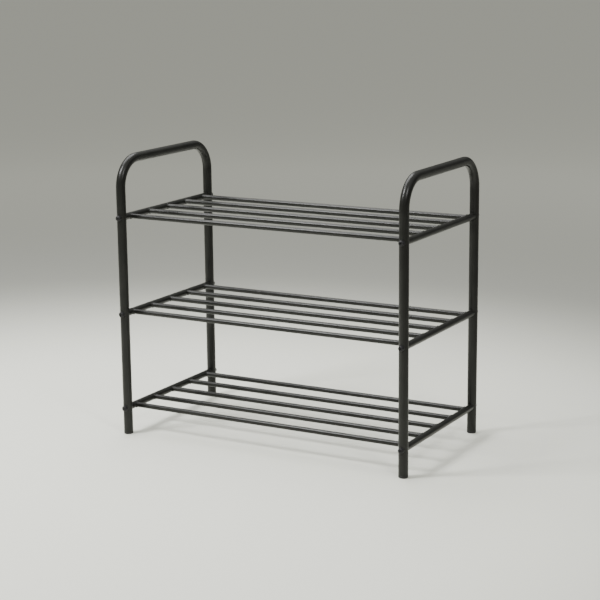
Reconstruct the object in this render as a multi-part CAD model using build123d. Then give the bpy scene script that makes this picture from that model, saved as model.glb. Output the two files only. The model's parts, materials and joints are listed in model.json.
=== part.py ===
from build123d import *
from math import sqrt
import os

# Three-tier shoe rack in black powder-coated steel tube.
#
# Two side frames, each one tube bent into an upside-down U, stand on plastic foot plugs.
# Three welded shelves join them. A shelf has two end rails, which run from the front leg to
# the rear leg, and five slats, which run from rail to rail. A bolt goes through each leg into
# a threaded plug in the end of the rail.
#
# Millimetres. +X is along the shelves to the right, +Y to the rear, +Z up. The origin is on
# the floor at the middle of the rack.

# ---- Driving dimensions -------------------------------------------------------------------

FRAME_SPACING = 726.0       # between the two side frames' centre planes
LEG_SPACING = 377.0         # between the front and rear leg centre-lines
BAR_HEIGHT = 656.0          # floor to the centre-line of the handle bar
BEND_RADIUS = 66.0          # centre-line radius of the side frame's two bends

LEG_DIA = 22.0
LEG_WALL = 1.2
RAIL_DIA = 16.0
RAIL_WALL = 1.0
SLAT_DIA = 12.0
SLAT_WALL = 0.8

SHELF_NAMES = ["bottom", "middle", "top"]
FIRST_SHELF_HEIGHT = 64.0   # floor to the centre-line of the lowest rails and slats
SHELF_PITCH = 229.0
SLATS_PER_SHELF = 5
SLAT_PITCH = 79.0

JOINT_GAP = 0.05            # keeps a coped tube end just clear of the tube that it meets
OVERCUT = 1.0               # how much longer a bore or cope is cut than the piece that it cuts

BOLT_DIA = 6.0
BOLT_LENGTH = 40.0          # under the head
BOLT_TIP_CHAMFER = 0.8
HEAD_DIA = 13.0
HEAD_HEIGHT = 5.0
HEAD_RIM = 1.6              # height of the head's straight edge, below its dome
HEAD_FLAT_DIA = 6.0         # flat top of the dome, around the socket
SOCKET_ACROSS_FLATS = 4.0
SOCKET_DEPTH = 2.6

BOLT_HOLE_DIA = 6.5         # in the legs and the saddle washers
WASHER_DIA = 14.0
WASHER_CROWN = 1.5          # thickness of the saddle washer over the crown of the leg

PLUG_LENGTH = 24.0
PLUG_SETBACK = 2.0          # from the leg's surface to the plug's end face
PLUG_THREAD_DIA = 6.1       # the thread is a plain hole
PLUG_FIT = 0.05             # radial gap in the rail

FOOT_FLANGE_HEIGHT = 5.0
FOOT_EDGE_RADIUS = 2.0      # where the flange meets the floor
FOOT_SEAM_CHAMFER = 0.5     # where the flange meets the end of the leg
FOOT_STEM_DIA = 17.0
FOOT_STEM_HEIGHT = 17.0
FOOT_STEM_BORE = 12.0
FOOT_RIB_COUNT = 3
FOOT_RIB_HEIGHT = 1.2
FOOT_FIRST_RIB = 2.7        # from the top of the flange to the lowest rib
FOOT_RIB_PITCH = 4.5
FOOT_FIT = 0.05             # radial gap between the ribs and the inside of the leg

# ---- Derived places -----------------------------------------------------------------------

SIDES = {"left": -FRAME_SPACING / 2, "right": FRAME_SPACING / 2}
ENDS = {"front": -LEG_SPACING / 2, "rear": LEG_SPACING / 2}
SHELF_HEIGHTS = {name: FIRST_SHELF_HEIGHT + i * SHELF_PITCH for i, name in enumerate(SHELF_NAMES)}
SLAT_OFFSETS = [(i - (SLATS_PER_SHELF - 1) / 2) * SLAT_PITCH for i in range(SLATS_PER_SHELF)]

BOLT_SEAT = LEG_DIA / 2 + WASHER_CROWN      # leg centre-line to the underside of the head


# ---- Helpers ------------------------------------------------------------------------------

def ring(outer_dia, wall):
    """The section of a round tube."""
    return Circle(outer_dia / 2) - Circle(outer_dia / 2 - wall)


def rod_x(dia, length):
    """A solid rod along X, centred on the origin."""
    return Cylinder(dia / 2, length, rotation=(0, 90, 0))


def rod_y(dia, length):
    """A solid rod along Y, centred on the origin."""
    return Cylinder(dia / 2, length, rotation=(90, 0, 0))


def tube(rod, outer_dia, wall, length):
    """A round tube: rod is rod_x or rod_y, which sets the tube's direction."""
    return rod(outer_dia, length) - rod(outer_dia - 2 * wall, length + OVERCUT)


def joint_axes(x, end, z):
    """The place of one bolted joint: origin on the leg's centre-line, +Z out along the bolt."""
    outward_turn = 90 if end == "front" else -90
    return Location((x, ENDS[end], z), (outward_turn, 0, 0))


# ---- Side frames --------------------------------------------------------------------------

def side_frame(x):
    """One tube bent into an upside-down U, with a bolt hole through each leg at each shelf."""
    front, rear = ENDS["front"], ENDS["rear"]
    path = FilletPolyline(
        (x, front, FOOT_FLANGE_HEIGHT),
        (x, front, BAR_HEIGHT),
        (x, rear, BAR_HEIGHT),
        (x, rear, FOOT_FLANGE_HEIGHT),
        radius=BEND_RADIUS,
    )
    leg_end = Plane((x, front, FOOT_FLANGE_HEIGHT), z_dir=(0, 0, 1))
    frame = sweep(leg_end * ring(LEG_DIA, LEG_WALL), path=path)
    for y in ENDS.values():
        for z in SHELF_HEIGHTS.values():
            frame -= Pos(x, y, z) * rod_y(BOLT_HOLE_DIA, LEG_DIA + OVERCUT)
    return frame


def foot(x, y):
    """A plastic plug in the end of a leg: a flange on the floor and a ribbed, hollow stem."""
    flange = extrude(Circle(LEG_DIA / 2), FOOT_FLANGE_HEIGHT)
    flange = fillet(flange.edges().sort_by(Axis.Z)[0], FOOT_EDGE_RADIUS)
    flange = chamfer(flange.edges().sort_by(Axis.Z)[-1], FOOT_SEAM_CHAMFER)
    stem_top = FOOT_FLANGE_HEIGHT + FOOT_STEM_HEIGHT
    plug = flange + extrude(Circle(FOOT_STEM_DIA / 2), stem_top)
    rib_radius = LEG_DIA / 2 - LEG_WALL - FOOT_FIT
    for i in range(FOOT_RIB_COUNT):
        rib_bottom = FOOT_FLANGE_HEIGHT + FOOT_FIRST_RIB + i * FOOT_RIB_PITCH
        plug += Pos(0, 0, rib_bottom) * extrude(Circle(rib_radius), FOOT_RIB_HEIGHT)
    plug -= Pos(0, 0, FOOT_FLANGE_HEIGHT) * extrude(Circle(FOOT_STEM_BORE / 2), FOOT_STEM_HEIGHT)
    return Pos(x, y, 0) * plug


# ---- Shelves ------------------------------------------------------------------------------

def end_rail(x, z):
    """A shelf's end rail, with both ends coped to sit against the legs."""
    rail = tube(rod_y, RAIL_DIA, RAIL_WALL, LEG_SPACING)
    for y in ENDS.values():
        rail -= Pos(0, y, 0) * Cylinder(LEG_DIA / 2 + JOINT_GAP, RAIL_DIA + OVERCUT)
    return Pos(x, 0, z) * rail


def slat(y, z):
    """A slat, with both ends coped to sit against the inner sides of the two rails."""
    bar = tube(rod_x, SLAT_DIA, SLAT_WALL, FRAME_SPACING)
    for x in SIDES.values():
        bar -= Pos(x, 0, 0) * rod_y(RAIL_DIA + 2 * JOINT_GAP, SLAT_DIA + OVERCUT)
    return Pos(0, y, z) * bar


# ---- Bolted joints, each modelled in the axes that joint_axes gives ------------------------

def bolt():
    """A button-head bolt with a hexagon socket."""
    tip = BOLT_SEAT - BOLT_LENGTH
    top = BOLT_SEAT + HEAD_HEIGHT
    shank = BOLT_DIA / 2
    head = HEAD_DIA / 2
    rim = BOLT_SEAT + HEAD_RIM
    side = Polyline(
        (0, top),
        (0, tip),
        (shank - BOLT_TIP_CHAMFER, tip),
        (shank, tip + BOLT_TIP_CHAMFER),
        (shank, BOLT_SEAT),
        (head, BOLT_SEAT),
        (head, rim),
    )
    dome = TangentArc((head, rim), (HEAD_FLAT_DIA / 2, top), tangent=(0, 1))
    flat = Line((HEAD_FLAT_DIA / 2, top), (0, top))
    body = revolve(Plane.XZ * make_face([side, dome, flat]), Axis.Z)
    hexagon = RegularPolygon(SOCKET_ACROSS_FLATS / sqrt(3), 6)
    return body - Pos(0, 0, top - SOCKET_DEPTH) * extrude(hexagon, SOCKET_DEPTH + OVERCUT)


def saddle_washer():
    """A spacer with a flat outer face for the bolt head and a hollow that fits the round leg."""
    disc = extrude(ring(WASHER_DIA, (WASHER_DIA - BOLT_HOLE_DIA) / 2), BOLT_SEAT)
    return disc - rod_y(LEG_DIA + 2 * JOINT_GAP, WASHER_DIA + OVERCUT)


def rail_plug():
    """The threaded steel plug that is fixed in the end of a rail."""
    radius = RAIL_DIA / 2 - RAIL_WALL - PLUG_FIT
    start = -(LEG_DIA / 2 + PLUG_SETBACK + PLUG_LENGTH)
    body = extrude(Circle(radius) - Circle(PLUG_THREAD_DIA / 2), PLUG_LENGTH)
    return Pos(0, 0, start) * body


def at_four_joints(piece, z):
    """Four copies of a piece, one at each leg, as separate solids in one node."""
    places = [joint_axes(x, end, z) for x in SIDES.values() for end in ENDS]
    return Compound(children=[place * piece for place in places])


# ---- Assembly -----------------------------------------------------------------------------

def all_parts():
    """Every piece of the rack where it belongs, by name."""
    parts = {}
    for side, x in SIDES.items():
        parts[f"side_frame_{side}"] = side_frame(x)
        for end, y in ENDS.items():
            parts[f"foot_{end}_{side}"] = foot(x, y)
    for shelf, z in SHELF_HEIGHTS.items():
        for side, x in SIDES.items():
            parts[f"{shelf}_rail_{side}"] = end_rail(x, z)
        for number, y in enumerate(SLAT_OFFSETS, start=1):
            parts[f"{shelf}_slat_{number}"] = slat(y, z)
        parts[f"{shelf}_bolts"] = at_four_joints(bolt(), z)
        parts[f"{shelf}_saddle_washers"] = at_four_joints(saddle_washer(), z)
        parts[f"{shelf}_rail_plugs"] = at_four_joints(rail_plug(), z)
    return parts


os.makedirs("parts", exist_ok=True)
for name, shape in all_parts().items():
    export_step(shape, f"parts/{name}.step")
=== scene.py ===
"""Looks for the three-tier tubular shoe rack: finishes, weld beads, floor, light and camera.

Metres. +X runs along the shelves to the right, +Y to the rear, +Z up, and the floor is z = 0.
"""

import json
import math
import random

import bmesh
import bpy
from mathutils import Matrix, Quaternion, Vector


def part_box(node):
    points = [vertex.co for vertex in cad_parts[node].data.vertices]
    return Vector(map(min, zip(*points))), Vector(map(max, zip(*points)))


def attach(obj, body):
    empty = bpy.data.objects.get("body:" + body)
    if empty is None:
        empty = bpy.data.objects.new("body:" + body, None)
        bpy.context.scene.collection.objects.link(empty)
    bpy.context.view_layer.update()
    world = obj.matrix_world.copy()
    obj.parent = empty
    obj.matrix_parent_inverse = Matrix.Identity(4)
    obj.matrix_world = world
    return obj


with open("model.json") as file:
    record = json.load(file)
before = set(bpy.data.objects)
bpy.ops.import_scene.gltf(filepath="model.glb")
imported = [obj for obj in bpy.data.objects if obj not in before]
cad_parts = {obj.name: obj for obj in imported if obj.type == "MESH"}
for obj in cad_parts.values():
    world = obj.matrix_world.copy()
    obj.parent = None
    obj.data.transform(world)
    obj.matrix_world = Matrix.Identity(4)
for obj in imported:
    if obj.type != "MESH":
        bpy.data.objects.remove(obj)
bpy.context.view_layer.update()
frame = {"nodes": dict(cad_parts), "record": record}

BODY = "root"
SHELVES = ("bottom", "middle", "top")
SIDES = ("left", "right")
SLAT_NUMBERS = range(1, 6)

MM = 0.001


# ---- Camera ----------------------------------------------------------------------------------

VIEW_AZIMUTH = math.radians(29.05)      # 0 looks along +Y
VIEW_ELEVATION = math.radians(12.45)
VIEW_ROLL = math.radians(-0.58)
VIEW_DISTANCE = 3.907                   # from the camera to its aim
VIEW_AIM = Vector((0.0038, 0.0014, 0.3243))
LENS_MM = 100.0
SENSOR_WIDTH_MM = 36.0
CLIP_START = 0.05
CLIP_END = 600.0                        # past the floor's far edge


def add_camera():
    """A camera at the photograph's viewing angle."""
    back = Vector((
        math.sin(VIEW_AZIMUTH) * math.cos(VIEW_ELEVATION),
        -math.cos(VIEW_AZIMUTH) * math.cos(VIEW_ELEVATION),
        math.sin(VIEW_ELEVATION),
    ))
    data = bpy.data.cameras.new("camera")
    data.lens = LENS_MM
    data.sensor_width = SENSOR_WIDTH_MM
    data.clip_start = CLIP_START
    data.clip_end = CLIP_END
    camera = bpy.data.objects.new("camera", data)
    camera.location = VIEW_AIM + back * VIEW_DISTANCE
    camera.rotation_mode = "QUATERNION"
    level = back.to_track_quat("Z", "Y")
    camera.rotation_quaternion = level @ Quaternion((0, 0, 1), VIEW_ROLL)
    bpy.context.scene.collection.objects.link(camera)
    bpy.context.scene.camera = camera


# ---- Material tools --------------------------------------------------------------------------

NOISE_LOW = 0.35            # most of a noise's values lie between these two
NOISE_HIGH = 0.65


def new_material(name):
    """A material with its node tree, its Principled shader and object coordinates in metres."""
    material = bpy.data.materials.new(name)
    material.use_nodes = True
    nodes = material.node_tree.nodes
    shader = nodes["Principled BSDF"]
    place = nodes.new("ShaderNodeTexCoord").outputs["Object"]
    return material, shader, place


def link(material, out_socket, in_socket):
    """Joins two sockets of the material's nodes."""
    material.node_tree.links.new(out_socket, in_socket)


def noise(material, place, size, detail=2):
    """Noise whose lumps are about size metres across; gives its factor socket."""
    node = material.node_tree.nodes.new("ShaderNodeTexNoise")
    node.inputs["Scale"].default_value = 1.0 / size
    node.inputs["Detail"].default_value = detail
    link(material, place, node.inputs["Vector"])
    return node.outputs["Fac"]


def remap(material, value, low, high):
    """Stretches a noise's values over low to high, easing into both ends."""
    node = material.node_tree.nodes.new("ShaderNodeMapRange")
    node.interpolation_type = "SMOOTHSTEP"
    node.inputs["From Min"].default_value = NOISE_LOW
    node.inputs["From Max"].default_value = NOISE_HIGH
    node.inputs["To Min"].default_value = low
    node.inputs["To Max"].default_value = high
    link(material, value, node.inputs["Value"])
    return node.outputs["Result"]


def mix_colour(material, factor, first, second):
    """The first colour where the factor is 0, the second where it is 1."""
    node = material.node_tree.nodes.new("ShaderNodeMix")
    node.data_type = "RGBA"
    link(material, factor, node.inputs["Factor"])
    node.inputs["A"].default_value = (*first, 1)
    node.inputs["B"].default_value = (*second, 1)
    return node.outputs["Result"]


def add_heights(material, first, second, second_share):
    """first + second_share * second."""
    node = material.node_tree.nodes.new("ShaderNodeMath")
    node.operation = "MULTIPLY_ADD"
    link(material, second, node.inputs[0])
    node.inputs[1].default_value = second_share
    link(material, first, node.inputs[2])
    return node.outputs["Value"]


def bump(material, shader, height, depth, strength):
    """Bumps the surface by up to depth metres."""
    node = material.node_tree.nodes.new("ShaderNodeBump")
    node.inputs["Strength"].default_value = strength
    node.inputs["Distance"].default_value = depth
    link(material, height, node.inputs["Height"])
    link(material, node.outputs["Normal"], shader.inputs["Normal"])


# ---- Materials -------------------------------------------------------------------------------

def powder_coat():
    """Satin black powder coat: fine orange peel, with slow changes of shade and gloss.

    Its roughness stays above 0.274: below that the render's denoiser treats a gloss as a mirror,
    and a change from one to the other shows as smudges.
    """
    material, shader, place = new_material("black_powder_coat")
    shade = noise(material, place, 60 * MM, detail=3)
    colour = mix_colour(material, remap(material, shade, 0, 1),
                        (0.0120, 0.0123, 0.0108), (0.0160, 0.0163, 0.0143))
    link(material, colour, shader.inputs["Base Color"])
    gloss = noise(material, place, 30 * MM)
    link(material, remap(material, gloss, 0.276, 0.292), shader.inputs["Roughness"])
    peel = noise(material, place, 2.6 * MM, detail=1)
    grit = noise(material, place, 0.4 * MM, detail=1)
    texture = add_heights(material, peel, grit, second_share=0.1)
    bump(material, shader, texture, 0.12 * MM, strength=0.6)
    shader.inputs["Specular IOR Level"].default_value = 0.25
    return material


def moulded_plastic():
    """Matt black polyethylene with a fine spark-eroded grain."""
    material, shader, place = new_material("black_plastic")
    shade = noise(material, place, 8 * MM, detail=2)
    colour = mix_colour(material, remap(material, shade, 0, 1),
                        (0.0085, 0.0085, 0.0088), (0.0125, 0.0125, 0.0130))
    link(material, colour, shader.inputs["Base Color"])
    scuff = noise(material, place, 3 * MM, detail=3)
    link(material, remap(material, scuff, 0.50, 0.66), shader.inputs["Roughness"])
    grain = noise(material, place, 0.30 * MM, detail=2)
    bump(material, shader, grain, 0.04 * MM, strength=0.6)
    return material


def black_zinc():
    """Dull black zinc plating on the bolts, with faint wear."""
    material, shader, place = new_material("black_zinc_steel")
    shade = noise(material, place, 2.5 * MM, detail=2)
    colour = mix_colour(material, remap(material, shade, 0, 1),
                        (0.016, 0.016, 0.017), (0.030, 0.030, 0.031))
    link(material, colour, shader.inputs["Base Color"])
    shader.inputs["Metallic"].default_value = 0.3
    shader.inputs["Specular IOR Level"].default_value = 0.25
    wear = noise(material, place, 1.2 * MM, detail=3)
    link(material, remap(material, wear, 0.40, 0.52), shader.inputs["Roughness"])
    bump(material, shader, wear, 0.02 * MM, strength=0.4)
    return material


def bright_zinc():
    """Bright zinc plating on the threaded plugs inside the rails."""
    material, shader, place = new_material("plain_steel")
    shade = noise(material, place, 4 * MM, detail=3)
    colour = mix_colour(material, remap(material, shade, 0, 1),
                        (0.40, 0.41, 0.42), (0.52, 0.52, 0.51))
    link(material, colour, shader.inputs["Base Color"])
    shader.inputs["Metallic"].default_value = 1.0
    link(material, remap(material, shade, 0.30, 0.42), shader.inputs["Roughness"])
    return material


def paint_cad_nodes(finishes):
    """Gives every CAD node the material of its slot in the record."""
    for part in frame["record"]["subparts"]:
        node = frame["nodes"][part["node"]]
        node.data.materials.clear()
        node.data.materials.append(finishes[part["material_slot"]])


# ---- Pieces ----------------------------------------------------------------------------------

def add_piece(name, mesh, finishes, slot):
    """Links a mesh as a piece of the object, with the material of that slot."""
    piece = bpy.data.objects.new(name, mesh)
    mesh.materials.append(finishes[slot])
    bpy.context.scene.collection.objects.link(piece)
    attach(piece, BODY)


def centre(node):
    """The middle of a node's box."""
    low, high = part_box(node)
    return (low + high) / 2


def section_radius(node):
    """Outer radius of a straight level tube, from its box."""
    low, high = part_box(node)
    return (high.z - low.z) / 2


# ---- Weld beads ------------------------------------------------------------------------------

BEAD_RADIUS = 1.5 * MM
BEAD_STEPS = 96             # around the slat
BEAD_SIDES = 10             # around the bead itself
BEAD_LAPS = 26              # laps of weld metal around one slat
BEAD_RIPPLE = 0.10          # how much each lap swells the bead
BEAD_SWELLS = 3             # slow swells around one slat
BEAD_WANDER = 0.12          # how much they swell the bead
TANGENT_STEP = 0.01         # radians to each side, for the bead's direction


def weld_line(rail, rail_radius, slat, slat_radius, side):
    """The closed line where a slat's surface meets the rail, as a function of the angle.

    rail and slat are the middles of the two tubes.
    """
    def point(angle):
        height = slat_radius * math.sin(angle)
        reach = math.sqrt(rail_radius ** 2 - height ** 2)
        return Vector((
            rail.x - side * reach,
            slat.y + slat_radius * math.cos(angle),
            slat.z + height,
        ))
    return point


def bead_radius(angle, phase):
    """The bead's own radius at an angle around the slat."""
    ripple = 1 + BEAD_RIPPLE * abs(math.sin(BEAD_LAPS * angle / 2 + phase))
    wander = 1 + BEAD_WANDER * math.sin(BEAD_SWELLS * angle + phase)
    return BEAD_RADIUS * ripple * wander


def add_ring(mesh, middle, outward, across, radius):
    """One ring of vertices around the bead's line."""
    ring = []
    for i in range(BEAD_SIDES):
        turn = math.tau * i / BEAD_SIDES
        arm = math.cos(turn) * outward + math.sin(turn) * across
        ring.append(mesh.verts.new(middle + radius * arm))
    return ring


def join_rings(mesh, rings):
    """Faces from each ring to the next, and from the last to the first."""
    for ring, following in zip(rings, rings[1:] + rings[:1]):
        for i in range(BEAD_SIDES):
            k = (i + 1) % BEAD_SIDES
            face = mesh.faces.new((ring[i], following[i], following[k], ring[k]))
            face.smooth = True


def add_bead(mesh, line, axis, rng):
    """A rippled tube of weld metal along a closed line around the axis."""
    phase = rng.uniform(0, math.tau)
    rings = []
    for i in range(BEAD_STEPS):
        angle = math.tau * i / BEAD_STEPS
        along = (line(angle + TANGENT_STEP) - line(angle - TANGENT_STEP)).normalized()
        outward = axis.cross(along).normalized()
        across = along.cross(outward)
        rings.append(add_ring(mesh, line(angle), outward, across, bead_radius(angle, phase)))
    join_rings(mesh, rings)


def add_welds(shelf, side_name, finishes):
    """The five beads that join a shelf's slats to one of its rails."""
    rail_node = f"{shelf}_rail_{side_name}"
    rail = centre(rail_node)
    side = 1 if rail.x > 0 else -1
    rng = random.Random(f"{shelf} {side_name}")
    made = bmesh.new()
    for number in SLAT_NUMBERS:
        slat_node = f"{shelf}_slat_{number}"
        slat = centre(slat_node)
        line = weld_line(rail, section_radius(rail_node), slat, section_radius(slat_node), side)
        add_bead(made, line, Vector((1, 0, 0)), rng)
    bmesh.ops.recalc_face_normals(made, faces=made.faces)
    data = bpy.data.meshes.new(f"{shelf}_welds_{side_name}")
    made.to_mesh(data)
    made.free()
    add_piece(data.name, data, finishes, "black_powder_coat")


# ---- Studio ----------------------------------------------------------------------------------

FLOOR_RADIUS = 250.0                    # so that its edge is as good as the horizon
FLOOR_SEGMENTS = 96
FLOOR_ROUGHNESS = 0.75
FLOOR_TINT = (0.816, 0.825, 0.739)      # of the floor in the middle of its painted pool of light
PAINTED_LIGHT_MIDDLE = (-0.2, -0.4, 0.0)        # middle of the pool of light painted on the floor, nearer the front left
PAINTED_LIGHT_REACH = 5.0                       # metres from there to where the painted light and shade end
FLOOR_PAINTED_LIGHT = (                        # share of that reach, share of the tint: painted light, pale near the rack, darkest a little way off, lighter again towards the horizon
    (0.0, 1.0),
    (0.17, 1.0),
    (0.44, 0.38),
    (1.0, 0.70),
)
ROOM_LIGHT = (                          # sine of the elevation, brightness
    (0.0, 0.33),                        # as the far floor, so that no horizon shows
    (0.1, 0.11),
    (0.2, 0.11),
    (1.0, 0.90),
)
ROOM_TINT = (1.0, 1.0, 0.955)
SOFTBOXES = (                           # name, place, aim, width, height, watts
    ("key_softbox", (-1.3, -1.5, 2.5), (0, 0, 0.2), 0.6, 1.0, 88),
    ("fill_softbox", (1.9, -1.4, 2.5), (0, 0, 0.2), 0.4, 0.8, 26),
    ("top_softbox", (-1.0, 0.5, 2.6), (0, 0, 0.3), 2.2, 1.6, 62),
)


def shades(tree, value, stops, tint):
    """The tint, made lighter or darker as value goes from 0 to 1 past the stops."""
    ramp = tree.nodes.new("ShaderNodeValToRGB")
    ramp.color_ramp.interpolation = "EASE"
    marks = ramp.color_ramp.elements    # two are there already, at 0 and 1
    for place, _ in stops[1:-1]:
        marks.new(place)
    for mark, (_, light) in zip(marks, stops):
        mark.color = (*(light * share for share in tint), 1)
    tree.links.new(value, ramp.inputs["Fac"])
    return ramp.outputs["Color"]


def floor_with_painted_light():
    """A matt floor whose colour carries painted light: its own pale tint, lightest in a pool
    near the rack and painted grey away from it, as a lit studio floor looks.
    """
    material, shader, place = new_material("pale_floor_painted_light")
    tree = material.node_tree
    distance = tree.nodes.new("ShaderNodeVectorMath")
    distance.operation = "DISTANCE"
    distance.inputs[1].default_value = PAINTED_LIGHT_MIDDLE
    link(material, place, distance.inputs[0])
    share = tree.nodes.new("ShaderNodeMath")
    share.operation = "DIVIDE"
    share.inputs[1].default_value = PAINTED_LIGHT_REACH
    link(material, distance.outputs["Value"], share.inputs[0])
    # painted light: the floor's tint, made lighter in a pool near the rack and darker away from
    # it
    colour = shades(tree, share.outputs["Value"], FLOOR_PAINTED_LIGHT, FLOOR_TINT)
    link(material, colour, shader.inputs["Base Color"])
    shader.inputs["Roughness"].default_value = FLOOR_ROUGHNESS
    return material


def add_floor():
    """A flat round floor under the rack."""
    made = bmesh.new()
    bmesh.ops.create_circle(made, cap_ends=True, radius=FLOOR_RADIUS, segments=FLOOR_SEGMENTS)
    data = bpy.data.meshes.new("floor")
    made.to_mesh(data)
    made.free()
    floor = bpy.data.objects.new("floor", data)
    bpy.context.scene.collection.objects.link(floor)
    # the floor's colour holds a painted pool of light
    data.materials.append(floor_with_painted_light())


def add_softbox(name, location, aim, width, height, power):
    """A soft rectangular light at a place, turned to its aim."""
    data = bpy.data.lights.new(name, "AREA")
    data.shape = "RECTANGLE"
    data.size = width
    data.size_y = height
    data.energy = power
    lamp = bpy.data.objects.new(name, data)
    lamp.location = location
    lamp.rotation_mode = "QUATERNION"
    lamp.rotation_quaternion = (Vector(location) - Vector(aim)).to_track_quat("Z", "Y")
    bpy.context.scene.collection.objects.link(lamp)


def add_world():
    """Soft room light: dim a little above the horizon, brightest overhead."""
    world = bpy.data.worlds.new("studio")
    world.use_nodes = True
    tree = world.node_tree
    direction = tree.nodes.new("ShaderNodeTexCoord").outputs["Generated"]
    split = tree.nodes.new("ShaderNodeSeparateXYZ")
    tree.links.new(direction, split.inputs["Vector"])
    colour = shades(tree, split.outputs["Z"], ROOM_LIGHT, ROOM_TINT)
    tree.links.new(colour, tree.nodes["Background"].inputs["Color"])
    bpy.context.scene.world = world


def add_studio():
    """The floor and the lights."""
    add_floor()
    for softbox in SOFTBOXES:
        add_softbox(*softbox)
    add_world()


# ---- Scene -----------------------------------------------------------------------------------

add_camera()
FINISHES = {
    "black_powder_coat": powder_coat(),
    "black_plastic": moulded_plastic(),
    "black_zinc_steel": black_zinc(),
    "plain_steel": bright_zinc(),
}
paint_cad_nodes(FINISHES)
for shelf_name in SHELVES:
    for side_name in SIDES:
        add_welds(shelf_name, side_name, FINISHES)
add_studio()
